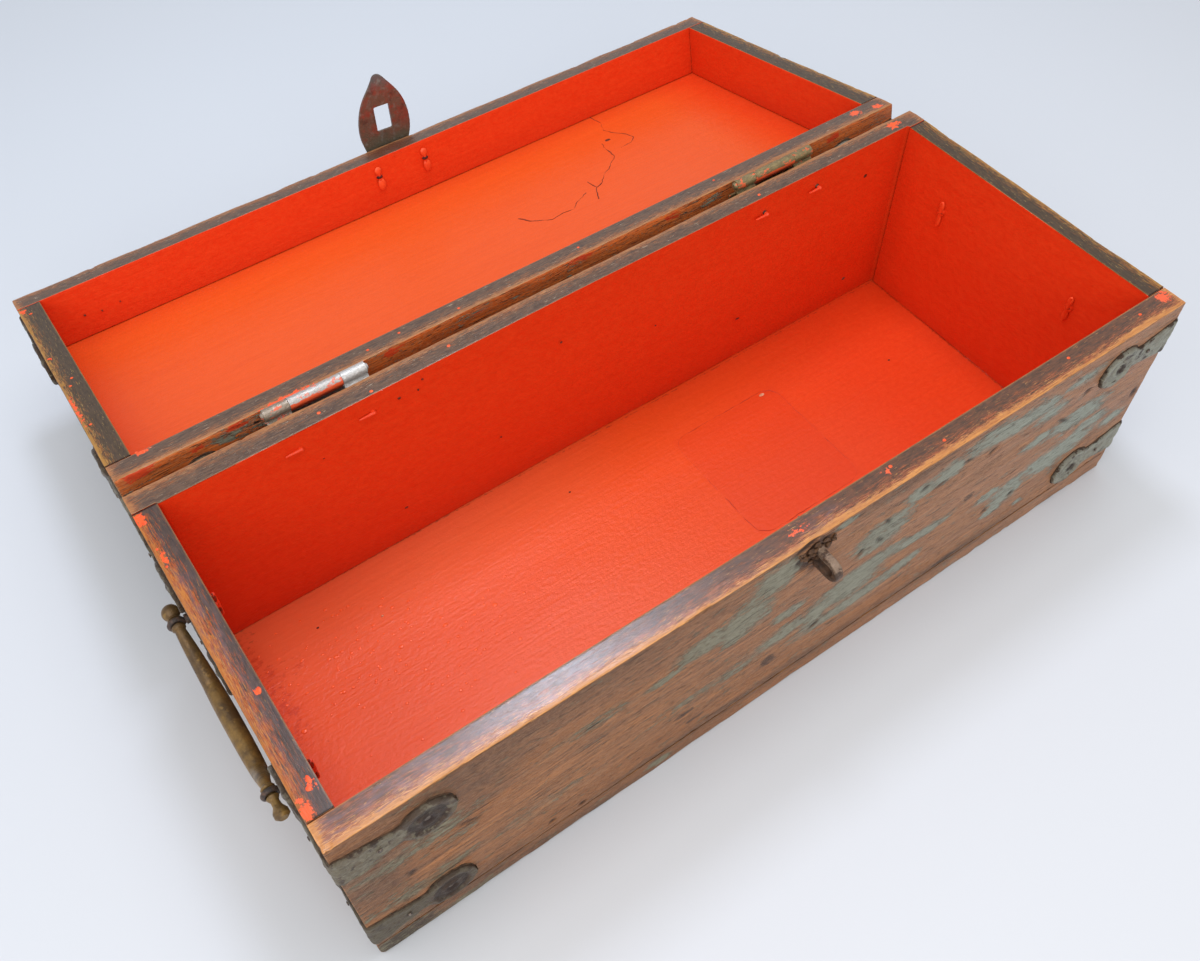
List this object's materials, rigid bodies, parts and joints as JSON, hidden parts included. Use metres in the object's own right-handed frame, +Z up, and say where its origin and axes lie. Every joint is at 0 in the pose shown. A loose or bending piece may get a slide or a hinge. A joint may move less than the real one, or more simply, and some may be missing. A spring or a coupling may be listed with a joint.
{
  "type": "carpenter's tool chest",
  "caption": "Long low wooden tool chest with a shallow hinged box lid, iron corner straps, leaf-shaped hasp and staple, and a drop handle on each end.",
  "frame": {"origin": "centre of the underside of the bottom board", "axes": "+X along the chest towards its right end, +Y towards the hinge side at the back, +Z up; the front with the staple faces -Y and the open lid lies behind at +Y"},
  "size_m": [0.626, 0.5335, 0.1706],
  "materials": {
    "base_wood": "worn red-brown stain and remnants of grey-green paint outside, vermilion enamel inside",
    "lid_wood": "worn brown stain outside, vermilion enamel inside, bare dark rims",
    "strap_iron": "old grey-green paint over dark iron",
    "nail_iron": "dark rusted wrought iron",
    "hinge_steel": "worn steel with splashes of vermilion paint",
    "forged_iron": "forged iron, brown with red rust, rubbed at the edges",
    "pin_wire": "bent iron wire, painted over inside the chest",
    "handle_iron": "cast iron with a dark bronze-brown patina, polished by hands"
  },
  "bodies": {
    "base": {"back_board": "base_wood", "base_hinge_nails": "nail_iron", "base_strap_nails": "nail_iron", "base_wall_nails": "nail_iron", "bottom_board": "base_wood", "bottom_board_nails": "nail_iron", "front_board": "base_wood", "front_left_lower_strap": "strap_iron", "front_left_upper_strap": "strap_iron", "front_right_lower_strap": "strap_iron", "front_right_upper_strap": "strap_iron", "front_staple": "forged_iron", "left_end_board": "base_wood", "left_handle_split_pins": "pin_wire", "left_hinge_base_leaf": "hinge_steel", "left_hinge_pin": "hinge_steel", "rear_left_lower_strap": "strap_iron", "rear_left_upper_strap": "strap_iron", "rear_right_lower_strap": "strap_iron", "rear_right_upper_strap": "strap_iron", "right_end_board": "base_wood", "right_handle_split_pins": "pin_wire", "right_hinge_base_leaf": "hinge_steel", "right_hinge_pin": "hinge_steel"},
    "lid": {"hasp_pin": "pin_wire", "hasp_split_pins": "pin_wire", "left_hinge_lid_leaf": "hinge_steel", "lid_back_board": "lid_wood", "lid_front_board": "lid_wood", "lid_front_left_strap": "strap_iron", "lid_front_right_strap": "strap_iron", "lid_hinge_nails": "nail_iron", "lid_left_board": "lid_wood", "lid_rear_left_strap": "strap_iron", "lid_rear_right_strap": "strap_iron", "lid_right_board": "lid_wood", "lid_strap_nails": "nail_iron", "lid_top_board": "lid_wood", "lid_top_nails": "nail_iron", "lid_wall_nails": "nail_iron", "right_hinge_lid_leaf": "hinge_steel"},
    "hasp": {"hasp_leaf": "forged_iron"},
    "left_handle": {"left_handle": "handle_iron"},
    "right_handle": {"right_handle": "handle_iron"}
  },
  "joints": [
    {"name": "lid_hinge", "type": "hinge", "parent": "base", "child": "lid", "pos_m": [0, 0.1305, 0.1668], "axis": [1, 0, 0], "range_deg": [0, 191.25]},
    {"name": "hasp_pivot", "type": "hinge", "parent": "lid", "child": "hasp", "pos_m": [-0.0012, 0.37952, 0.10136], "axis": [-1, 0, 0], "range_deg": [0, 178]},
    {"name": "left_handle_pivot", "type": "hinge", "parent": "base", "child": "left_handle", "pos_m": [-0.3075, 0.001, 0.122], "axis": [0, 1, 0], "range_deg": [0, 175]},
    {"name": "right_handle_pivot", "type": "hinge", "parent": "base", "child": "right_handle", "pos_m": [0.3075, 0.001, 0.122], "axis": [0, -1, 0], "range_deg": [0, 175]}
  ]
}
